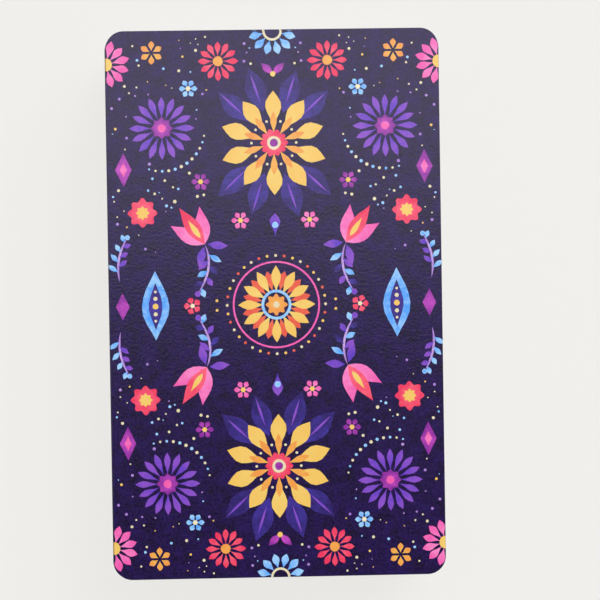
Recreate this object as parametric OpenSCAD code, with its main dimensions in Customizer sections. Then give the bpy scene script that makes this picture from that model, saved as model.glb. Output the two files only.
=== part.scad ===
// Tarot deck: seventy-eight cards in their new-deck order, squared into one stack and lying face down.
// X runs across a card and Y along it. Z is up, and the lowest card rests on z = 0.

/* [Card] */
// Width of a card
card_width = 73; // [50:0.5:100]
// Length of a card
card_length = 120; // [90:0.5:160]
// Radius of a card's rounded corners
corner_radius = 4; // [1:0.25:12]
// Thickness of the board of one card
card_thickness = 0.33; // [0.2:0.01:0.6]

/* [Stack] */
// Air between two cards that lie on each other
card_gap = 0.02; // [0.01:0.005:0.1]
// How far each card lies off the true square of the stack
squaring_error = 0.2; // [0:0.02:1]

/* [Hidden] */
$fn = 64;

// The twenty-two major cards, lowest in the stack first
majors = [
    "fool", "magician", "high_priestess", "empress", "emperor", "hierophant", "lovers", "chariot",
    "strength", "hermit", "wheel_of_fortune", "justice", "hanged_man", "death", "temperance", "devil",
    "tower", "star", "moon", "sun", "judgement", "world"
];
// The four suits, each of ten pip cards, two to a node, below four court cards
suits = ["wands", "cups", "swords", "coins"];
pip_pairs = ["ace_and_two", "three_and_four", "five_and_six", "seven_and_eight", "nine_and_ten"];
courts = ["page", "knight", "queen", "king"];
cards_in_pair = 2;
cards_in_suit = cards_in_pair * len(pip_pairs) + len(courts);

function major_name(number) = str("major_", majors[number]);
function pip_name(suit, pair) = str(suits[suit], "_", pip_pairs[pair]);
function court_name(suit, rank) = str(suits[suit], "_", courts[rank]);

// How many cards lie below the first card of a suit
function suit_base(suit) = len(majors) + suit * cards_in_suit;

// From the underside of one card to the underside of the next
card_pitch = card_thickness + card_gap;
// The middles of the four corner arcs form this rectangle
corner_span = [card_width - 2 * corner_radius, card_length - 2 * corner_radius];
// Each card is nudged off square in a direction that turns by the golden angle from card to card
nudge_turn = 137.5;
function nudge(place) = squaring_error * [sin(place * nudge_turn), cos(place * nudge_turn)];

back_ink = [0.22, 0.18, 0.34];

// Outline of a card, with four true corner arcs
module card_outline() {
    square([card_width, corner_span.y], center = true);
    square([corner_span.x, card_length], center = true);
    for (x = [-corner_span.x / 2, corner_span.x / 2], y = [-corner_span.y / 2, corner_span.y / 2])
        translate([x, y])
            circle(r = corner_radius);
}

// One card at its place in the stack, counted up from the lowest card, which is at place 0
module card(place) {
    translate([nudge(place).x, nudge(place).y, place * card_pitch])
        linear_extrude(height = card_thickness)
            card_outline();
}

module major_card(number) {
    color(back_ink)
        card(number);
}

module pip_pair(suit, pair) {
    color(back_ink)
        for (member = [0 : cards_in_pair - 1])
            card(suit_base(suit) + pair * cards_in_pair + member);
}

module court_card(suit, rank) {
    color(back_ink)
        card(suit_base(suit) + cards_in_pair * len(pip_pairs) + rank);
}

for (number = [0 : len(majors) - 1])
    major_card(number);
for (suit = [0 : len(suits) - 1], pair = [0 : len(pip_pairs) - 1])
    pip_pair(suit, pair);
for (suit = [0 : len(suits) - 1], rank = [0 : len(courts) - 1])
    court_card(suit, rank);
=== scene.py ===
"""Dresses the tarot deck: every card gets its printed back, its face and its cut edge.

A card is drawn in millimetres round its own middle, and MM turns that into the frame's metres.
"""

import math
import random
from collections import namedtuple

import bpy
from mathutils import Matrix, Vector
from mathutils.geometry import delaunay_2d_cdt


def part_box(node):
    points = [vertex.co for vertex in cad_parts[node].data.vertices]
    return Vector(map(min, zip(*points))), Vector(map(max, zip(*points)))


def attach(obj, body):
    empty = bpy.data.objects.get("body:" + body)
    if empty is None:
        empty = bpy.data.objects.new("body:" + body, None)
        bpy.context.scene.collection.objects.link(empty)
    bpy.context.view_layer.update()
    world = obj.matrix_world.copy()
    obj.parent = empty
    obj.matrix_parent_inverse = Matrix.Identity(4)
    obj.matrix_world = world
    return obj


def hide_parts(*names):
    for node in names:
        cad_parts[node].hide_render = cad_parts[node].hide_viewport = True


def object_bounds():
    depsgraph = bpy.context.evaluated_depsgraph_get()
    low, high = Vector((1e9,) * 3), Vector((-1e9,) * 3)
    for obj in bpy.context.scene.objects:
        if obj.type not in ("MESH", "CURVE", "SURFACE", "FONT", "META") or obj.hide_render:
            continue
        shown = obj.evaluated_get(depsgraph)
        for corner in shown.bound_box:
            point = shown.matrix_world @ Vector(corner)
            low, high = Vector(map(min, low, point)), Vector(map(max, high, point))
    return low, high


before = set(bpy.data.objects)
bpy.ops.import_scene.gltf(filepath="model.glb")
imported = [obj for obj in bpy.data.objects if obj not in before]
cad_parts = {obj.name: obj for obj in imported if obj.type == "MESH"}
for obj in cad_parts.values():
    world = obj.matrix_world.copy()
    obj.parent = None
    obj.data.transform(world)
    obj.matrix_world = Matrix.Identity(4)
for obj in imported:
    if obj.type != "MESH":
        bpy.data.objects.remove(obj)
cad_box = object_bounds()

MM = 0.001
TURN = 2 * math.pi
UP = TURN / 4

# Card sizes in millimetres, from the frame
LOWEST_CARD = "major_fool"
SAME_PLACE = 0.001
card_low, card_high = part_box(LOWEST_CARD)
CARD_W, CARD_L, CARD_T = ((card_high - card_low) / MM)[:]


def node_points(node):
    """The vertices of a CAD node, in millimetres."""
    return [vertex.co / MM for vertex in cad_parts[node].data.vertices]


def corner_radius():
    """The radius of a card's corners, from the straight part of its short side."""
    points = node_points(LOWEST_CARD)
    end = max(p.y for p in points)
    straight = [p.x for p in points if end - p.y < SAME_PLACE]
    return (CARD_W - (max(straight) - min(straight))) / 2


CORNER_R = corner_radius()
CORNER_STEPS = 14
# The knife leaves the rim of a card very slightly round
EDGE_ROUND = 0.04
CENTRE = (0.0, 0.0)


# Outlines, as lists of points that run anticlockwise

def polar(at, angle, radius):
    """The point that lies radius away from at, in the direction angle."""
    return (at[0] + radius * math.cos(angle), at[1] + radius * math.sin(angle))


def along_across(at, angle, along, across):
    """A point given by its steps along the direction angle and to the left of it."""
    c, s = math.cos(angle), math.sin(angle)
    return (at[0] + along * c - across * s, at[1] + along * s + across * c)


def above(at, rise):
    """The point this far straight above another."""
    return (at[0], at[1] + rise)


# Points round a circle of 1 mm, and the fewest that any circle has
DISC_STEPS, FEWEST_STEPS = 14, 6
LOBE_STEPS = 6


def disc(at, radius):
    """A circle, with more points the larger it is."""
    steps = max(FEWEST_STEPS, round(DISC_STEPS * math.sqrt(radius)))
    return [polar(at, TURN * i / steps, radius) for i in range(steps)]


def scallop(at, lobes, radius, depth):
    """A rosette of round lobes: its radius swings by the share depth round the circle."""
    steps = lobes * LOBE_STEPS
    angles = [TURN * i / steps for i in range(steps)]
    return [polar(at, angle, radius * (1 + depth * math.cos(lobes * angle))) for angle in angles]


# Above 1 a petal's ends are drawn out to points
PETAL_POINT = 1.2
# Steps along the side of the shortest petals. Longer ones have more
PETAL_STEPS = 4


def petal(at, angle, start, reach, width, belly=0.5):
    """A leaf from start to reach along angle, widest at the share belly of its length."""
    steps = PETAL_STEPS + round(math.sqrt(reach - start))
    skew = math.log(0.5) / math.log(belly)
    side = []
    for i in range(steps + 1):
        share = i / steps
        swell = max(math.sin(math.pi * share ** skew), 0.0) ** PETAL_POINT
        side.append((start + (reach - start) * share, swell * width / 2))
    there = [along_across(at, angle, along, -half) for along, half in side]
    back = [along_across(at, angle, along, half) for along, half in reversed(side[1:-1])]
    return there + back


def lozenge(at, half_w, half_l):
    """An upright diamond."""
    x, y = at
    return [(x + half_w, y), (x, y + half_l), (x - half_w, y), (x, y - half_l)]


def bar(at, half_w, half_l):
    """An upright rectangle."""
    left, right = at[0] - half_w, at[0] + half_w
    low, high = at[1] - half_l, at[1] + half_l
    return [(right, low), (right, high), (left, high), (left, low)]


def curve(start, bend, end, steps=9):
    """Points along a bow from start to end, drawn towards bend."""
    points = []
    for i in range(steps + 1):
        t = i / steps
        weights = ((1 - t) ** 2, 2 * t * (1 - t), t ** 2)
        points.append(tuple(sum(w * p[k] for w, p in zip(weights, (start, bend, end))) for k in (0, 1)))
    return points


def heading(path, i):
    """The direction in which a path runs at its point i."""
    before, after = path[max(i - 1, 0)], path[min(i + 1, len(path) - 1)]
    return math.atan2(after[1] - before[1], after[0] - before[0])


def ribbon(path, width):
    """A stroke along a path that thins to nothing at both ends."""
    last = len(path) - 1
    halves = [width / 2 * math.sqrt(math.sin(math.pi * i / last)) for i in range(1, last)]
    inner = list(zip(range(1, last), halves))
    right = [along_across(path[i], heading(path, i), 0, -half) for i, half in inner]
    left = [along_across(path[i], heading(path, i), 0, half) for i, half in reversed(inner)]
    return [path[0]] + right + [path[-1]] + left


def mirrored(points, flip_x, flip_y):
    """The outline's mirror image, still anticlockwise."""
    turned = [((-x if flip_x else x), (-y if flip_y else y)) for x, y in points]
    return turned[::-1] if flip_x != flip_y else turned


# A print is a pile of marks. A mark's colour turns from its heart outwards, and has turned at its reach

Mark = namedtuple("Mark", "ink points heart reach shade")
HAND_SWELL = 0.025
HAND_LOBES = 3
SHADE_SPREAD = 0.22


class Print:
    """A flat design: marks in the order in which they are laid down, each a little off true."""

    def __init__(self, seed):
        self.marks = []
        self.images = [(False, False)]
        self.hand = random.Random(seed)

    def mirror_at(self, place):
        """Marks laid from here on are repeated wherever mirroring the card both ways takes this place."""
        flips_x = (False, True) if place[0] else (False,)
        flips_y = (False, True) if place[1] else (False,)
        self.images = [(flip_x, flip_y) for flip_y in flips_y for flip_x in flips_x]

    def lay(self, ink, points, heart, reach, steady=False):
        """One mark and its mirror images. A steady one keeps its true outline."""
        drawn = points if steady else self.by_hand(points, heart)
        for flip_x, flip_y in self.images:
            middle = mirrored([heart], flip_x, flip_y)[0]
            shade = self.hand.uniform(-SHADE_SPREAD, SHADE_SPREAD) if reach else 0.0
            self.marks.append(Mark(ink, mirrored(drawn, flip_x, flip_y), middle, reach, shade))

    def by_hand(self, points, heart):
        """The outline as a hand cuts it, swollen a little here and drawn in there."""
        phase = self.hand.uniform(0, TURN)
        drawn = []
        for point in points:
            angle = math.atan2(point[1] - heart[1], point[0] - heart[0])
            swell = 1 + HAND_SWELL * math.sin(HAND_LOBES * angle + phase)
            drawn.append(polar(heart, angle, math.dist(point, heart) * swell))
        return drawn


# Motifs that the designs share

# How much smaller than the middle bead the beads at the ends of an arc are
BEAD_TAPER = 0.4
SPRIG_TURN, SPRIG_TAPER = 0.14 * TURN, 0.5
# The point of its stem at which a sprig has its first leaflet
FIRST_LEAFLET = 2


def leaf(design, at, ink, angle, start, reach, width, belly=0.5):
    """One petal that grows from at, whose colour turns towards its tip."""
    design.lay(ink, petal(at, angle, start, reach, width, belly), at, reach)


def flower(design, at, ink, petals, start, reach, width, lean=0.0, belly=0.6):
    """A ring of petals round a middle. Lean turns it, as a share of the step between two petals."""
    for i in range(petals):
        leaf(design, at, ink, TURN * (i + lean) / petals, start, reach, width, belly)


def rosette(design, at, ink, lobes, radius, depth):
    """A round mark with a lobed rim."""
    design.lay(ink, scallop(at, lobes, radius, depth), at, radius * (1 + depth))


def diamond(design, at, ink, half_w, half_l):
    """An upright lozenge."""
    design.lay(ink, lozenge(at, half_w, half_l), at, half_l)


def dot(design, at, ink, radius):
    """A filled circle."""
    design.lay(ink, disc(at, radius), at, radius)


def ring(design, at, ink, radius, width):
    """A thin ring: a disc under a smaller one of bare ground."""
    design.lay(ink, disc(at, radius + width / 2), at, radius, steady=True)
    design.lay("ground", disc(at, radius - width / 2), at, reach=0, steady=True)


def bead_ring(design, at, radius, count, size, inks):
    """Dots evenly round a circle."""
    for i in range(count):
        dot(design, polar(at, TURN * i / count, radius), inks[i % len(inks)], size)


def bead_arc(design, at, radius, first, last, count, size, inks):
    """Dots along an arc, largest in its middle."""
    for i in range(count):
        share = i / (count - 1)
        spot = polar(at, first + (last - first) * share, radius)
        dot(design, spot, inks[i % len(inks)], size * (1 - BEAD_TAPER * (1 - math.sin(math.pi * share))))


def sprig(design, path, stem_ink, leaf_inks, leaf_length, leaf_width, stem_width=0.5):
    """A stem with leaflets on both sides by turns, shorter towards its end, and a bead at its tip."""
    middle = path[len(path) // 2]
    design.lay(stem_ink, ribbon(path, stem_width), middle, math.dist(path[0], path[-1]) / 2, steady=True)
    for i in range(FIRST_LEAFLET, len(path) - 1):
        side = 1 if i % 2 else -1
        length = leaf_length * (1 - SPRIG_TAPER * i / len(path))
        angle = heading(path, i) + side * SPRIG_TURN
        leaf(design, path[i], leaf_inks[i % len(leaf_inks)], angle, 0, length, leaf_width, belly=0.55)
    dot(design, path[-1], leaf_inks[0], leaf_width / 2)


# The design of the backs: a garden of round flowers, leaves, lozenges and beads, mirrored both ways

BLOSSOM_AT = (0.0, 35.5)
BLOSSOM_LEAF_TURNS = (0.12, 0.20, 0.30, 0.38, 0.62, 0.70, 0.80, 0.88)
TULIP_AT = (15.5, 13.5)
TULIP_LEAN, TULIP_SPREAD, SEPAL_SPREAD = 0.155 * TURN, 0.075 * TURN, 0.36 * TURN
TULIP_STEM_BEND, TULIP_STEM_END = (13.2, 8.4), (17.2, 2.6)
DAISY_AT = (24.5, 39.0)
DAISY_ARC_R, DAISY_ARC = 9.4, (0.53 * TURN, 0.80 * TURN)
LENS_AT = (26.5, 0.0)
LENS_BEADS = [(0.0, "gold", 0.65), (1.7, "cream", 0.46), (3.2, "cream", 0.30)]
SCALLOP_AT = (29.0, 20.5)
POMPON_AT = (12.0, 53.5)
EDGE_FLOWER_AT = (36.5, 53.0)
EDGE_STEM = [(34.2, 5.4), (35.4, 10.4), (32.4, 15.2)]
EDGE_DIAMOND_AT = (33.7, 0.0)
FAN_AT = (0.0, 60.0)
BUD_AT = (26.5, 55.5)
DIAMOND_AT = (33.0, 30.0)
DROP_AT, DROP_FOOT = (0.0, 17.5), (0.0, 14.9)
HEART_AT = (0.0, 50.6)
HEART_TURNS = (0.12, 0.38)
BERRY_AT = (18.4, 0.0)
FLORETS = [((16.2, 27.2), "magenta", "gold"), ((18.6, 47.6), "sky", "cream"), ((7.6, 18.6), "pink", "gold")]


def medallion(design):
    """The flower in the middle of the card, inside a ring and a string of beads."""
    design.mirror_at(CENTRE)
    bead_ring(design, CENTRE, radius=10.8, count=36, size=0.32, inks=["cream", "gold", "rust"])
    ring(design, CENTRE, "pink", radius=9.4, width=0.4)
    flower(design, CENTRE, "rust", petals=12, start=3.0, reach=7.6, width=1.9, lean=0.5)
    flower(design, CENTRE, "gold", petals=12, start=2.6, reach=8.4, width=2.1)
    ring(design, CENTRE, "sky", radius=3.0, width=0.6)
    rosette(design, CENTRE, "orange", lobes=8, radius=2.1, depth=0.16)
    dot(design, CENTRE, "cream", radius=0.7)


def blossoms(design):
    """The two large flowers on the card's long axis, with dark leaves behind them."""
    design.mirror_at(BLOSSOM_AT)
    for turn in BLOSSOM_LEAF_TURNS:
        leaf(design, BLOSSOM_AT, "dusk", turn * TURN, start=7.0, reach=17.0, width=4.6)
        leaf(design, BLOSSOM_AT, "violet", turn * TURN, start=9.0, reach=15.6, width=0.5)
    flower(design, BLOSSOM_AT, "gold", petals=10, start=3.0, reach=11.6, width=3.6, lean=0.5, belly=0.62)
    flower(design, BLOSSOM_AT, "orange", petals=10, start=2.0, reach=7.0, width=1.5, lean=0.5)
    bead_ring(design, BLOSSOM_AT, radius=4.9, count=10, size=0.3, inks=["cream"])
    rosette(design, BLOSSOM_AT, "coral", lobes=10, radius=2.8, depth=0.1)
    dot(design, BLOSSOM_AT, "cream", radius=1.5)
    dot(design, BLOSSOM_AT, "magenta", radius=0.9)


def tulips(design):
    """Four cups of petals that lean out from the medallion on bowed stems."""
    design.mirror_at(TULIP_AT)
    stem = curve(TULIP_AT, TULIP_STEM_BEND, TULIP_STEM_END)
    sprig(design, stem, "lilac", ["violet", "dusk", "sky"], leaf_length=3.6, leaf_width=1.3)
    for side in (-1, 1):
        angle = TULIP_LEAN + side * TULIP_SPREAD
        leaf(design, TULIP_AT, "pink", angle, start=0, reach=8.6, width=3.4, belly=0.42)
    leaf(design, TULIP_AT, "coral", TULIP_LEAN, start=0, reach=9.6, width=3.2, belly=0.45)
    leaf(design, TULIP_AT, "gold", TULIP_LEAN, start=1.6, reach=6.4, width=1.2, belly=0.4)
    for side in (-1, 1):
        angle = TULIP_LEAN + side * SEPAL_SPREAD
        leaf(design, TULIP_AT, "violet", angle, start=0.6, reach=5.0, width=1.8)
    dot(design, polar(TULIP_AT, TULIP_LEAN, radius=11.4), "cream", radius=0.4)


def daisies(design):
    """Many-petalled violet flowers, each beside an arc of beads."""
    design.mirror_at(DAISY_AT)
    bead_arc(design, DAISY_AT, DAISY_ARC_R, *DAISY_ARC, count=12, size=0.38, inks=["cream", "sky"])
    flower(design, DAISY_AT, "violet", petals=16, start=1.8, reach=7.0, width=1.45, belly=0.66)
    rosette(design, DAISY_AT, "magenta", lobes=8, radius=2.1, depth=0.12)
    dot(design, DAISY_AT, "pink", radius=0.9)


def lenses(design):
    """Watery blue leaves beside the medallion, each with a row of beads for its vein and a berry."""
    design.mirror_at(LENS_AT)
    leaf(design, LENS_AT, "sky", UP, start=-7.6, reach=7.6, width=6.0)
    leaf(design, LENS_AT, "dusk", UP, start=-5.2, reach=5.2, width=3.0)
    diamond(design, EDGE_DIAMOND_AT, "magenta", half_w=1.5, half_l=3.0)
    flower(design, BERRY_AT, "coral", petals=5, start=0.2, reach=1.9, width=1.5, belly=0.66)
    dot(design, BERRY_AT, "cream", radius=0.5)
    for rise, ink, radius in LENS_BEADS:
        bead = above(LENS_AT, rise)
        design.mirror_at(bead)
        dot(design, bead, ink, radius)


def small_flowers(design):
    """Scallops, pompons, buds, florets and lozenges, half flowers that the cut runs through, and sprigs."""
    design.mirror_at(SCALLOP_AT)
    rosette(design, SCALLOP_AT, "coral", lobes=8, radius=2.9, depth=0.13)
    rosette(design, SCALLOP_AT, "gold", lobes=8, radius=1.3, depth=0.16)
    flower(design, POMPON_AT, "coral", petals=12, start=0.8, reach=4.4, width=1.35, belly=0.7)
    dot(design, POMPON_AT, "orange", radius=1.1)
    flower(design, EDGE_FLOWER_AT, "pink", petals=12, start=1.0, reach=5.2, width=1.7, lean=0.5, belly=0.66)
    dot(design, EDGE_FLOWER_AT, "gold", radius=1.4)
    flower(design, BUD_AT, "orange", petals=6, start=0.4, reach=2.6, width=1.35, lean=0.5, belly=0.62)
    diamond(design, DIAMOND_AT, "magenta", half_w=1.8, half_l=3.7)
    diamond(design, DIAMOND_AT, "pink", half_w=0.8, half_l=1.6)
    for at, ink, heart_ink in FLORETS:
        flower(design, at, ink, petals=6, start=0.2, reach=2.0, width=1.2, belly=0.66)
        dot(design, at, heart_ink, radius=0.55)
    sprig(design, curve(*EDGE_STEM), "lilac", ["sky", "violet"], leaf_length=3.0, leaf_width=1.1)


def axis_motifs(design):
    """What stands on the long axis between the large flowers: drops, leaf pairs and half flowers."""
    design.mirror_at(FAN_AT)
    flower(design, FAN_AT, "sky", petals=12, start=2.0, reach=5.4, width=1.7, lean=0.5, belly=0.62)
    ring(design, FAN_AT, "cream", radius=1.9, width=0.5)
    leaf(design, DROP_FOOT, "violet", UP, start=0, reach=5.2, width=2.4, belly=0.66)
    dot(design, DROP_AT, "sky", radius=0.7)
    for turn in HEART_TURNS:
        leaf(design, HEART_AT, "magenta", turn * TURN, start=0, reach=3.4, width=1.6)
    dot(design, HEART_AT, "gold", radius=0.6)


SPECK_COUNT = 64
SPECK_SIZES = (0.13, 0.36)
SPECK_ROOM = 0.55
SPECK_INKS = ["cream", "lilac", "gold", "sky", "cream"]
EDGE_ROOM = 1.0
BACK_SEED = 7


def specks(design):
    """Small dots scattered over the ground that the other marks leave free."""
    taken = [(mark.heart, mark.reach) for mark in design.marks]
    for _ in range(SPECK_COUNT):
        free = False
        while not free:
            x = design.hand.uniform(EDGE_ROOM, CARD_W / 2 - EDGE_ROOM)
            y = design.hand.uniform(EDGE_ROOM, CARD_L / 2 - EDGE_ROOM)
            size = design.hand.uniform(*SPECK_SIZES)
            free = all(math.dist((x, y), heart) > reach + size + SPECK_ROOM for heart, reach in taken)
        design.mirror_at((x, y))
        dot(design, (x, y), design.hand.choice(SPECK_INKS), size)
        taken.append(((x, y), size))


def back_design():
    """The whole back, from the leaves that lie lowest to the specks."""
    design = Print(BACK_SEED)
    blossoms(design)
    medallion(design)
    tulips(design)
    daisies(design)
    lenses(design)
    small_flowers(design)
    axis_motifs(design)
    specks(design)
    return design


# Faces of the cards: ivory inside a double frame, with counted suit signs, or a dark panel behind a sign

PIP_COUNTS = {"ace_and_two": (1, 2), "three_and_four": (3, 4), "five_and_six": (5, 6),
              "seven_and_eight": (7, 8), "nine_and_ten": (9, 10)}
COURT_RANKS = {"page": 1, "knight": 2, "queen": 3, "king": 4}
SIGN_SIZE, COURT_SIGN_SIZE = 17.0, 48.0
LOW_SIGN_SIZES = {1: 52.0, 2: 32.0, 3: 24.0}
SIGN_COLUMN, SIGN_SPAN = 17.0, 80.0
WAND_LEAF_TURNS = (0.08, 0.25, 0.42)
BOWL_STEPS = 12
# How many signs stand in each side column, by the count of signs
SIDE_SIGNS = {1: 0, 2: 0, 3: 0, 4: 2, 5: 2, 6: 3, 7: 3, 8: 3, 9: 4, 10: 4}
COURT_PANELS = [("violet", 44.5, 56.0), ("ground", 43.0, 54.0)]
RANK_ROW, RANK_STEP = 49.0, 6.5
ROSETTE_INKS = ["gold", "pink", "violet", "sky", "coral", "orange", "magenta"]
INNER_INK_STEP = 3
ROSETTE_PETALS = [8, 10, 12, 14]
# Half the width and half the length of the panel
MAJOR_PANEL = (29.0, 52.5)
CORNER_INSET = 10.5
CORNER_AT = (CARD_W / 2 - CORNER_INSET, CARD_L / 2 - CORNER_INSET)


def frame_line(design, ink, inset, width):
    """A thin line round the face, this far in from the card's edge."""
    for depth, fill in ((inset, ink), (inset + width, "ivory")):
        design.lay(fill, bar(CENTRE, CARD_W / 2 - depth, CARD_L / 2 - depth), CENTRE, reach=0, steady=True)


def corner_flowers(design):
    """A small flower in each corner of the face."""
    design.mirror_at(CORNER_AT)
    flower(design, CORNER_AT, "pink", petals=8, start=0.6, reach=3.6, width=1.5, belly=0.66)
    dot(design, CORNER_AT, "gold", radius=0.9)


def wand(design, at, size):
    """A staff in leaf."""
    staff, head = above(at, -0.1 * size), above(at, 0.22 * size)
    design.lay("rust", bar(staff, half_w=0.05 * size, half_l=0.38 * size), staff, reach=0.5 * size)
    for turn in WAND_LEAF_TURNS:
        leaf(design, head, "violet", turn * TURN, start=0, reach=0.3 * size, width=0.15 * size)


def cup(design, at, size):
    """A goblet."""
    brim, stem, foot = above(at, 0.3 * size), above(at, -0.2 * size), above(at, -0.44 * size)
    design.lay("sky", bar(stem, half_w=0.05 * size, half_l=0.24 * size), stem, reach=0.5 * size)
    bowl = [polar(brim, TURN / 2 * (1 + i / BOWL_STEPS), 0.32 * size) for i in range(BOWL_STEPS + 1)]
    design.lay("sky", bowl, brim, reach=0.32 * size)
    leaf(design, brim, "gold", 0, start=-0.34 * size, reach=0.34 * size, width=0.1 * size)
    leaf(design, foot, "gold", 0, start=-0.24 * size, reach=0.24 * size, width=0.1 * size)


def sword(design, at, size):
    """An upright blade with its guard, grip and pommel."""
    guard, grip, pommel = above(at, -0.22 * size), above(at, -0.34 * size), above(at, -0.47 * size)
    leaf(design, guard, "lilac", UP, start=0, reach=0.72 * size, width=0.2 * size, belly=0.4)
    design.lay("rust", bar(grip, half_w=0.04 * size, half_l=0.13 * size), grip, reach=0.13 * size)
    leaf(design, guard, "gold", 0, start=-0.22 * size, reach=0.22 * size, width=0.09 * size)
    dot(design, pommel, "gold", radius=0.06 * size)


def coin(design, at, size):
    """A round coin with a rosette."""
    dot(design, at, "gold", radius=0.44 * size)
    rosette(design, at, "orange", lobes=8, radius=0.3 * size, depth=0.14)
    dot(design, at, "cream", radius=0.1 * size)


SIGNS = {"wands": wand, "cups": cup, "swords": sword, "coins": coin}


def column(x, count, span):
    """Places evenly up a column, or in its middle for a single one."""
    return [(x, span * (i / (count - 1) - 0.5) if count > 1 else 0.0) for i in range(count)]


def pip_face(design, sign, count):
    """A count of signs, in a middle column and two side ones."""
    side = SIDE_SIGNS[count]
    middle_span = SIGN_SPAN / 2 if side else SIGN_SPAN
    spots = column(0.0, count - 2 * side, middle_span)
    for x in (-SIGN_COLUMN, SIGN_COLUMN):
        spots += column(x, side, SIGN_SPAN)
    for spot in spots:
        sign(design, spot, LOW_SIGN_SIZES.get(count, SIGN_SIZE))


def court_face(design, sign, rank):
    """One large sign on a dark leaf, between two rows of lozenges, as many as the rank."""
    for ink, half_l, width in COURT_PANELS:
        design.lay(ink, petal(CENTRE, UP, -half_l, half_l, width), CENTRE, reach=half_l, steady=True)
    sign(design, CENTRE, COURT_SIGN_SIZE)
    for row in (-RANK_ROW, RANK_ROW):
        for i in range(rank):
            diamond(design, (RANK_STEP * (i - (rank - 1) / 2), row), "magenta", half_w=2.0, half_l=3.4)


def major_face(design, number):
    """A rosette inside a ring of beads, as many as the card's number, on a dark panel."""
    outer, inner = (ROSETTE_INKS[(number + step) % len(ROSETTE_INKS)] for step in (0, INNER_INK_STEP))
    petals = ROSETTE_PETALS[number % len(ROSETTE_PETALS)]
    design.lay("ground", bar(CENTRE, *MAJOR_PANEL), CENTRE, reach=0, steady=True)
    flower(design, CENTRE, "dusk", petals, start=6.0, reach=26.0, width=6.0, lean=0.5)
    flower(design, CENTRE, outer, petals, start=4.0, reach=22.0, width=7.0, belly=0.66)
    flower(design, CENTRE, inner, petals, start=3.0, reach=12.0, width=3.0)
    design.lay("ground", scallop(CENTRE, petals, radius=4.2, depth=0.1), CENTRE, reach=0)
    dot(design, CENTRE, "gold", radius=1.8)
    bead_ring(design, CENTRE, radius=27.5, count=number, size=0.9, inks=["cream", "gold"])


def face_design(node, member, number):
    """The face of one card of a node, whose place in the stack is number."""
    design = Print(number)
    frame_line(design, "ground", inset=4.0, width=0.6)
    frame_line(design, "orange", inset=5.4, width=0.25)
    family, rank = node.split("_", 1)
    if family == "major":
        major_face(design, number)
    elif rank in COURT_RANKS:
        court_face(design, SIGNS[family], COURT_RANKS[rank])
    else:
        pip_face(design, SIGNS[family], PIP_COUNTS[rank][member])
    corner_flowers(design)
    return design


# Inks and bare board: the colour of a mark's heart, the one that it turns into, and how cloudy it is

def linear(red, green, blue):
    """A screen colour, 0 to 255 a channel, as linear colour, by the standard curve of screens."""
    shares = (red / 255, green / 255, blue / 255)
    return tuple(s / 12.92 if s <= 0.04045 else ((s + 0.055) / 1.055) ** 2.4 for s in shares) + (1.0,)


INK_COLOURS = {
    "ground": (linear(12, 0, 38), linear(31, 9, 77), 0.8),
    "gold": (linear(245, 214, 114), linear(244, 198, 92), 0.3),
    "orange": (linear(246, 190, 84), linear(241, 154, 66), 0.4),
    "coral": (linear(252, 100, 120), linear(236, 52, 88), 0.6),
    "pink": (linear(250, 142, 198), linear(242, 92, 170), 0.5),
    "magenta": (linear(196, 74, 188), linear(138, 42, 150), 0.6),
    "violet": (linear(94, 58, 188), linear(138, 80, 194), 0.7),
    "sky": (linear(80, 160, 242), linear(160, 210, 248), 0.8),
    "cream": (linear(247, 241, 206), linear(230, 218, 172), 0.5),
    "lilac": (linear(208, 174, 228), linear(166, 126, 206), 0.5),
    "rust": (linear(244, 122, 70), linear(230, 88, 62), 0.5),
    "dusk": (linear(66, 52, 156), linear(42, 28, 98), 0.5),
    "ivory": (linear(244, 238, 222), linear(236, 226, 206), 0.5),
    "paper": (linear(251, 249, 243), linear(234, 229, 219), 0.4),
    "core": (linear(204, 204, 208), linear(176, 176, 184), 0.4),
}
INKS = list(INK_COLOURS)
BOARD_INKS = ("paper", "core")
# The lines of the cut edge, from the back down: how far in each lies, at what share of the thickness,
# and the ink of the strip below it
EDGE_LINES = [
    (EDGE_ROUND, 1.0, "ground"),
    (0.0, 1.0 - EDGE_ROUND / CARD_T, "paper"),
    (0.0, 0.54, "core"),
    (0.0, 0.47, "paper"),
    (0.0, EDGE_ROUND / CARD_T, "ivory"),
    (EDGE_ROUND, 0.0, None),
]


# Map of a card's surface on a square: the back, two smaller faces beside it, and the edge's strips above

MAP_NAME = "OFBake"
MAP_MM = 2 * CARD_W
FACE_SCALE = 0.6
FACE_LEFT, FACE_RISE = 0.505, 0.5
STRIP_FOOT, STRIP_RISE, STRIP_HEIGHT, STRIP_LENGTH = 0.835, 0.014, 0.012, 0.49


def place_on_back(point):
    """Where a point of the back lies on the map."""
    return ((point[0] + CARD_W / 2) / MAP_MM, (point[1] + CARD_L / 2) / MAP_MM)


def place_on_face(point, member):
    """Where a point of the face of a node's first or second card lies on the map."""
    u, v = place_on_back(point)
    return (FACE_LEFT + FACE_SCALE * u, FACE_RISE * member + FACE_SCALE * v)


# Printed sheets: the back, which all cards share, and each card's face

Sheet = namedtuple("Sheet", "points triangles inks tips places sources")
TRIANGULATION_GRAIN = 1e-5
HALF_TURNED = 0.5


def turned(mark, point):
    """How far a mark's colour has turned at a point, from 0 to 1."""
    share = math.dist(point, mark.heart) / mark.reach if mark.reach else HALF_TURNED
    return min(max(share + mark.shade, 0.0), 1.0)


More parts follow.
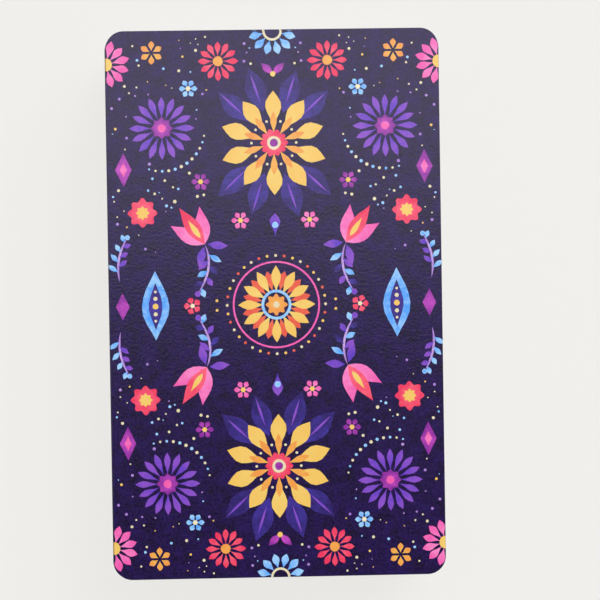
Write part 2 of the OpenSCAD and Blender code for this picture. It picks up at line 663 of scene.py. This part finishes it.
def printed_sheet(outline, ground, marks, place_of, upside_down):
    """Cuts an outline's area into triangles, each in the ink of the mark laid down last over it."""
    layers = [Mark(ground, outline, CENTRE, 0, 0.0)] + marks
    points, areas = [], []
    for mark in layers:
        areas.append(list(range(len(points), len(points) + len(mark.points))))
        points.extend(Vector(point) for point in mark.points)
    cut_points, _, cut, sources, _, covers = delaunay_2d_cdt(points, [], areas, 1, TRIANGULATION_GRAIN)
    kept = [(triangle, layers[max(cover)]) for triangle, cover in zip(cut, covers) if 0 in cover]
    used = sorted({v for triangle, _ in kept for v in triangle})
    number = {v: i for i, v in enumerate(used)}
    sheet = Sheet([tuple(cut_points[v]) for v in used], [], [], [], [], [sources[v] for v in used])
    for triangle, mark in kept:
        corners = [number[v] for v in (triangle[::-1] if upside_down else triangle)]
        sheet.triangles.append(corners)
        sheet.inks.append(INKS.index(mark.ink))
        for corner in corners:
            sheet.tips.append(turned(mark, sheet.points[corner]))
            sheet.places.extend(place_of(sheet.points[corner]))
    return sheet


def rim_of(sheet):
    """The vertices round a sheet, in anticlockwise order."""
    sides = {(a, b) for tri in sheet.triangles for a, b in zip(tri, tri[1:] + tri[:1])}
    follow = {a: b for a, b in sides if (b, a) not in sides}
    loop = [min(follow)]
    while follow[loop[-1]] != loop[0]:
        loop.append(follow[loop[-1]])
    return loop


def card_outline(inset):
    """The card's outline, drawn in by inset, with round corners."""
    half_x, half_y = CARD_W / 2 - CORNER_R, CARD_L / 2 - CORNER_R
    points = []
    for quarter, (side_x, side_y) in enumerate(((1, 1), (-1, 1), (-1, -1), (1, -1))):
        for i in range(CORNER_STEPS + 1):
            angle = TURN / 4 * (quarter + i / CORNER_STEPS)
            points.append(polar((side_x * half_x, side_y * half_y), angle, CORNER_R - inset))
    return points


def pushed_out(point, inset):
    """The point of the outline drawn in by inset that lies straight outside a point near the edge."""
    half_x, half_y = CARD_W / 2 - CORNER_R, CARD_L / 2 - CORNER_R
    core = (min(max(point[0], -half_x), half_x), min(max(point[1], -half_y), half_y))
    return polar(core, math.atan2(point[1] - core[1], point[0] - core[0]), CORNER_R - inset)


BACK = printed_sheet(card_outline(EDGE_ROUND), "ground", back_design().marks, place_on_back,
                     upside_down=False)
BACK_RIM = rim_of(BACK)
EDGE_POINTS = [[pushed_out(BACK.points[v], inset) for v in BACK_RIM] for inset, _, _ in EDGE_LINES]


def lengths_along(loop):
    """How far along a closed loop each of its points lies, and last its whole length."""
    lengths = [0.0]
    for here, there in zip(loop, loop[1:] + loop[:1]):
        lengths.append(lengths[-1] + math.dist(here, there))
    return lengths


EDGE_LENGTHS = lengths_along(EDGE_POINTS[1])


# Meshes of whole cards

SHARP_ANGLE = math.radians(30)


def ink_share(ink):
    """Where the middle of an ink's step lies on a scale from 0 to 1 that holds them all."""
    return (ink + 0.5) / len(INKS)


class Cards:
    """Gathers the cards of one node: vertices and faces, with each face's ink, map places and turns."""

    def __init__(self):
        self.verts = []
        self.faces = []
        self.inks = []
        self.tips = []
        self.places = []

    def add_points(self, at, flat_points, height):
        """Adds points at a height over the underside of a card at this place, and returns their numbers."""
        first = len(self.verts)
        level = (at[2] + height) * MM
        self.verts.extend(((at[0] + x) * MM, (at[1] + y) * MM, level) for x, y in flat_points)
        return list(range(first, len(self.verts)))

    def add_sheet(self, sheet, numbers):
        """Adds a sheet's triangles, with the numbers that its points have here."""
        self.faces.extend([numbers[v] for v in triangle] for triangle in sheet.triangles)
        self.inks.extend(sheet.inks)
        self.tips.extend(sheet.tips)
        self.places.extend(sheet.places)

    def add_strip(self, upper, lower, ink, row, shade):
        """Adds one strip of the cut edge between two loops of vertices."""
        low = STRIP_FOOT + STRIP_RISE * row
        high = low + STRIP_HEIGHT
        count = len(upper)
        for i in range(count):
            j = (i + 1) % count
            left, right = (STRIP_LENGTH * EDGE_LENGTHS[k] / EDGE_LENGTHS[-1] for k in (i, i + 1))
            corners = [upper[j], upper[i], lower[i], lower[j]]
            self.faces.append(corners)
            self.inks.append(INKS.index(ink))
            self.tips.extend([shade] * len(corners))
            self.places.extend((right, high, left, high, left, low, right, low))

    def card(self, at, member, marks, shade):
        """Adds one card whose underside's middle is at, with these marks on its face."""
        numbers = self.add_points(at, BACK.points, CARD_T)
        self.add_sheet(BACK, numbers)
        upper = [numbers[v] for v in BACK_RIM]
        strips = list(zip(EDGE_LINES, EDGE_LINES[1:], EDGE_POINTS[1:]))
        for i, ((_, _, ink), (_, level, _), flat_points) in enumerate(strips):
            lower = self.add_points(at, flat_points, level * CARD_T)
            self.add_strip(upper, lower, ink, len(strips) * member + i, shade)
            upper = lower
        self.add_face_sheet(at, member, marks, upper)

    def add_face_sheet(self, at, member, marks, loop):
        """Adds a card's face, which starts from the last loop of the cut edge."""
        face = printed_sheet(EDGE_POINTS[-1], "ivory", marks, lambda point: place_on_face(point, member),
                             upside_down=True)
        inner = [v for v, source in enumerate(face.sources) if min(source, default=len(loop)) >= len(loop)]
        numbers = {v: loop[min(source)] for v, source in enumerate(face.sources) if v not in set(inner)}
        numbers.update(zip(inner, self.add_points(at, [face.points[v] for v in inner], 0)))
        self.add_sheet(face, numbers)

    def piece(self, name, film, board):
        """The finished object, film on its prints and bare board on its cut edges."""
        mesh = bpy.data.meshes.new(name)
        mesh.from_pydata(self.verts, [], self.faces)
        mesh.materials.append(film)
        mesh.materials.append(board)
        mesh.polygons.foreach_set("material_index", [INKS[ink] in BOARD_INKS for ink in self.inks])
        mesh.polygons.foreach_set("use_smooth", [True] * len(self.faces))
        shares = [ink_share(ink) for ink in self.inks]
        mesh.attributes.new("ink", "FLOAT", "FACE").data.foreach_set("value", shares)
        mesh.attributes.new("tip", "FLOAT", "CORNER").data.foreach_set("value", self.tips)
        mesh.uv_layers.new(name=MAP_NAME).uv.foreach_set("vector", self.places)
        mesh.set_sharp_from_angle(angle=SHARP_ANGLE)
        mesh.validate()
        piece = bpy.data.objects.new(name, mesh)
        bpy.context.scene.collection.objects.link(piece)
        return piece


# Materials

class Wiring:
    """Short ways to wire the nodes of one tree."""

    def __init__(self, tree):
        self.nodes = tree.nodes
        self.links = tree.links

    def node(self, kind, **inputs):
        """A new node with these inputs, each a value or an output. Underscores stand for spaces."""
        made = self.nodes.new(kind)
        for socket, value in inputs.items():
            self.feed(made.inputs[socket.replace("_", " ")], value)
        return made

    def feed(self, socket, value):
        """Links an output to a socket, or sets a plain value on it."""
        if isinstance(value, bpy.types.NodeSocket):
            self.links.new(value, socket)
        else:
            socket.default_value = value

    def added(self, first, second, by=1.0):
        """The first value and by times the second, held between 0 and 1."""
        made = self.nodes.new("ShaderNodeMath")
        made.operation = "MULTIPLY_ADD"
        made.use_clamp = True
        for socket, value in zip(made.inputs, (second, by, first)):
            self.feed(socket, value)
        return made.outputs[0]

    def blend(self, share, first, second):
        """The colour that lies at this share of the way from the first to the second."""
        made = self.nodes.new("ShaderNodeMix")
        made.data_type = "RGBA"
        self.feed(made.inputs["Factor"], share)
        self.feed(made.inputs["A"], first)
        self.feed(made.inputs["B"], second)
        return made.outputs["Result"]


# The middle part of a noise's values, where most of them lie
NOISE_LOW, NOISE_HIGH = 0.3, 0.7


class Shader(Wiring):
    """A material with one Principled shader."""

    def __init__(self, name):
        self.material = bpy.data.materials.new(name)
        self.material.use_nodes = True
        super().__init__(self.material.node_tree)
        self.principled = self.nodes["Principled BSDF"]

    def attribute(self, name):
        """A value that the mesh holds at its corners or on its faces."""
        made = self.nodes.new("ShaderNodeAttribute")
        made.attribute_name = name
        return made.outputs["Fac"]

    def noise(self, feature_mm, low, high, detail=2.0, fineness=0.5, stretch=(1.0, 1.0, 1.0)):
        """Clouds about this wide that run from low to high. They lie on the map, so cards share them."""
        where = self.nodes.new("ShaderNodeUVMap")
        where.uv_map = MAP_NAME
        spread = self.node("ShaderNodeMapping", Vector=where.outputs[0], Scale=stretch)
        clouds = self.node("ShaderNodeTexNoise", Vector=spread.outputs[0], Detail=detail)
        clouds.inputs["Scale"].default_value = MAP_MM / feature_mm
        clouds.inputs["Roughness"].default_value = fineness
        made = self.node("ShaderNodeMapRange", Value=clouds.outputs["Fac"], To_Min=low, To_Max=high)
        made.inputs["From Min"].default_value = NOISE_LOW
        made.inputs["From Max"].default_value = NOISE_HIGH
        return made.outputs["Result"]

    def by_ink(self, colours):
        """Picks the colour of a face's ink out of a list of them all."""
        made = self.node("ShaderNodeValToRGB", Fac=self.attribute("ink"))
        made.color_ramp.interpolation = "CONSTANT"
        stops = made.color_ramp.elements
        # A new ramp has two stops, and the first stays
        stops.remove(stops[1])
        for i in range(1, len(INKS)):
            stops.new(i / len(INKS))
        for stop, colour in zip(stops, colours):
            stop.color = colour
        return made.outputs

    def paint(self, drift, grain_and_sheen, roughness):
        """Gives a face its ink, which turns from heart to tip, drifts as it is cloudy, and takes a pale
        grain that is partly painted sheen.
        """
        hearts = self.by_ink([heart[:3] + (cloud,) for heart, _, cloud in INK_COLOURS.values()])
        tips = self.by_ink([tip for _, tip, _ in INK_COLOURS.values()])
        share = self.added(self.attribute("tip"), drift, by=hearts["Alpha"])
        colour = self.blend(share, hearts["Color"], tips["Color"])
        # Mixing towards the pale grain colour paints part of the film's sheen into the base colour
        self.feed(self.principled.inputs["Base Color"], self.blend(grain_and_sheen, colour, PALE_GRAIN_AND_SHEEN))
        self.principled.inputs["Roughness"].default_value = roughness

    def emboss(self, relief, height):
        """Raises the surface by this height where the relief is 1."""
        bump = self.node("ShaderNodeBump", Strength=1.0, Distance=height, Height=relief)
        self.feed(self.principled.inputs["Normal"], bump.outputs[0])


# Finish of the printed film and of the bare board, with the widths of features in millimetres
FILM_ROUGHNESS = 0.19
BOARD_ROUGHNESS = 0.85
CLOUD_MM, GRAIN_MM, EGGSHELL_MM = 3.4, 0.5, 0.6
CLOUD_DETAIL, STREAK_DETAIL = 4.0, 4.0
CLOUD_FINENESS = 0.85
EGGSHELL_HEIGHT, STREAK_HEIGHT = 0.009 * MM, 0.01 * MM
# The colour of a pale grain, and the largest share that it has. On the film it is partly milky haze and
# partly painted sheen; on bare board only grain
PALE_GRAIN_AND_SHEEN = linear(166, 148, 192)
MOST_GRAIN_AND_SHEEN = 0.036
STREAK_STRETCH = (1.0, 0.1, 1.0)


def printed_film():
    """Gouache with soft clouds, printed under a matt film with an eggshell relief and a pale grain that is
    partly the film's milky haze and partly painted sheen.
    """
    shader = Shader("printed_film")
    clouds = shader.noise(CLOUD_MM, -1, 1, CLOUD_DETAIL, CLOUD_FINENESS)
    # The pale grain on the film is partly its milky haze and partly painted sheen
    shader.paint(clouds, shader.noise(GRAIN_MM, 0, MOST_GRAIN_AND_SHEEN), FILM_ROUGHNESS)
    shader.emboss(shader.noise(EGGSHELL_MM, 0, 1), EGGSHELL_HEIGHT)
    return shader.material


def cut_board():
    """Bare board, on which the knife leaves fine streaks across the edge."""
    shader = Shader("cut_board")
    streaks = shader.noise(GRAIN_MM, -1, 1, STREAK_DETAIL, stretch=STREAK_STRETCH)
    shader.paint(streaks, shader.noise(GRAIN_MM, 0, MOST_GRAIN_AND_SHEEN), BOARD_ROUGHNESS)
    shader.emboss(streaks, STREAK_HEIGHT)
    return shader.material


# Pieces

def card_middles(node):
    """The underside's middle of each card of a CAD node, lowest first, in millimetres."""
    levels = {}
    for point in node_points(node):
        levels.setdefault(round(point.z / SAME_PLACE), []).append(point)
    # From the lowest, levels are undersides and backs by turns
    undersides = sorted(levels)[::2]
    middles = []
    for level in undersides:
        xs, ys = [p.x for p in levels[level]], [p.y for p in levels[level]]
        middles.append(((min(xs) + max(xs)) / 2, (min(ys) + max(ys)) / 2, level * SAME_PLACE))
    return middles


TINT_SEED = 5
tint = random.Random(TINT_SEED)
middles_of = {node: card_middles(node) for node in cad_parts}
stack = sorted(middles_of, key=lambda node: middles_of[node][0][2])
number = sum(len(middles) for middles in middles_of.values())
film, board = printed_film(), cut_board()
# From the top card down, because an export gives its finest maps to the first of pieces alike in size
for node in reversed(stack):
    cards = Cards()
    number -= len(middles_of[node])
    for member, at in enumerate(middles_of[node]):
        face = face_design(node, member, number + member)
        cards.card(at, member, face.marks, shade=tint.random())
    piece = cards.piece(node + "_printed", film, board)
    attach(piece, node)
    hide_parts(node)


# Stage, light and camera, in metres and watts

PALE = linear(240, 239, 235)
FLOOR_REACH = 4.0
FLOOR_GLOW = 0.85
FLOOR_ROUGHNESS = 0.9


def floor():
    """A wide pale floor. Part of its colour glows, so it stays pale and still keeps the deck's shadow."""
    mesh = bpy.data.meshes.new("floor")
    corners = bar(CENTRE, FLOOR_REACH, FLOOR_REACH)
    mesh.from_pydata([(x, y, 0) for x, y in corners], [], [range(len(corners))])
    piece = bpy.data.objects.new("floor", mesh)
    bpy.context.scene.collection.objects.link(piece)
    shader = Shader("floor")
    shader.principled.inputs["Base Color"].default_value = PALE
    shader.principled.inputs["Roughness"].default_value = FLOOR_ROUGHNESS
    shader.principled.inputs["Specular IOR Level"].default_value = 0.0
    path = shader.nodes.new("ShaderNodeLightPath").outputs
    seen = path["Is Camera Ray"]
    for kind in ("Is Glossy Ray", "Is Transmission Ray"):
        seen = shader.added(seen, path[kind])
    share = shader.node("ShaderNodeMapRange", Value=seen, To_Max=FLOOR_GLOW).outputs["Result"]
    glow = shader.node("ShaderNodeEmission", Color=PALE)
    mixed = shader.node("ShaderNodeMixShader", Fac=share)
    shader.links.new(shader.principled.outputs[0], mixed.inputs[1])
    shader.links.new(glow.outputs[0], mixed.inputs[2])
    shader.links.new(mixed.outputs[0], shader.nodes["Material Output"].inputs["Surface"])
    mesh.materials.append(shader.material)


WINDOW = (1.75, 1.66, 2.0, 1.0)
SHADE = (0.06, 0.055, 0.07, 1.0)
WALLS = (0.58, 0.58, 0.60, 1.0)
# Heights of a direction over which the pale horizon turns into walls, and walls into window and shade
HORIZON = (0.12, 0.24)
WALL_TOP = (0.80, 0.86)
# Where the shade ends and the window starts, as the direction's share along the card
WINDOW_SILL = (-0.02, 0.04)
SKY_BANDS = [("Y", WINDOW_SILL, SHADE), ("Z", WALL_TOP, WALLS), ("Z", HORIZON, PALE)]


def room_light():
    """A pale room. Overhead a bright window lies towards the cards' heads, and shade towards their feet."""
    world = bpy.data.worlds.new("room")
    bpy.context.scene.world = world
    world.use_nodes = True
    wiring = Wiring(world.node_tree)
    direction = wiring.node("ShaderNodeTexCoord").outputs["Generated"]
    split = wiring.node("ShaderNodeSeparateXYZ", Vector=direction)
    colour = WINDOW
    for axis, (low, high), before in SKY_BANDS:
        share = wiring.node("ShaderNodeMapRange", Value=split.outputs[axis], From_Min=low, From_Max=high)
        share.interpolation_type = "SMOOTHSTEP"
        colour = wiring.blend(share.outputs["Result"], before, colour)
    wiring.feed(wiring.nodes["Background"].inputs["Color"], colour)


KEY_AT = (0.75, 1.05, 1.3)
KEY_SIZE = 1.2
KEY_WATTS = 19.0


def key_lamp():
    """One large soft lamp beyond the cards' heads, to the right. The film mirrors only the window."""
    data = bpy.data.lights.new("key", "AREA")
    data.size = KEY_SIZE
    data.energy = KEY_WATTS
    lamp = bpy.data.objects.new("key", data)
    lamp.location = KEY_AT
    lamp.visible_glossy = False
    lamp.rotation_euler = (-Vector(KEY_AT)).to_track_quat("-Z", "Y").to_euler()
    bpy.context.scene.collection.objects.link(lamp)


# The camera, in millimetres, fitted to the corners of the card in a frame of 600 by 600 pixels
CAMERA_HEIGHT = 400
CAMERA_OFFSET = (-5.90, 6.66)
CAMERA_TILT_DEG = (-0.82, -1.617, -0.911)
CAMERA_LENS = 109.3
CAMERA_CLIP = 0.01


def camera():
    """The photograph's viewpoint, straight above the deck."""
    data = bpy.data.cameras.new("camera")
    data.lens = CAMERA_LENS
    data.clip_start = CAMERA_CLIP
    viewer = bpy.data.objects.new("camera", data)
    viewer.location = (CAMERA_OFFSET[0] * MM, CAMERA_OFFSET[1] * MM, cad_box[1][2] + CAMERA_HEIGHT * MM)
    viewer.rotation_euler = [math.radians(angle) for angle in CAMERA_TILT_DEG]
    bpy.context.scene.collection.objects.link(viewer)
    bpy.context.scene.camera = viewer


floor()
room_light()
key_lamp()
camera()
bpy.context.scene.view_settings.view_transform = "Standard"
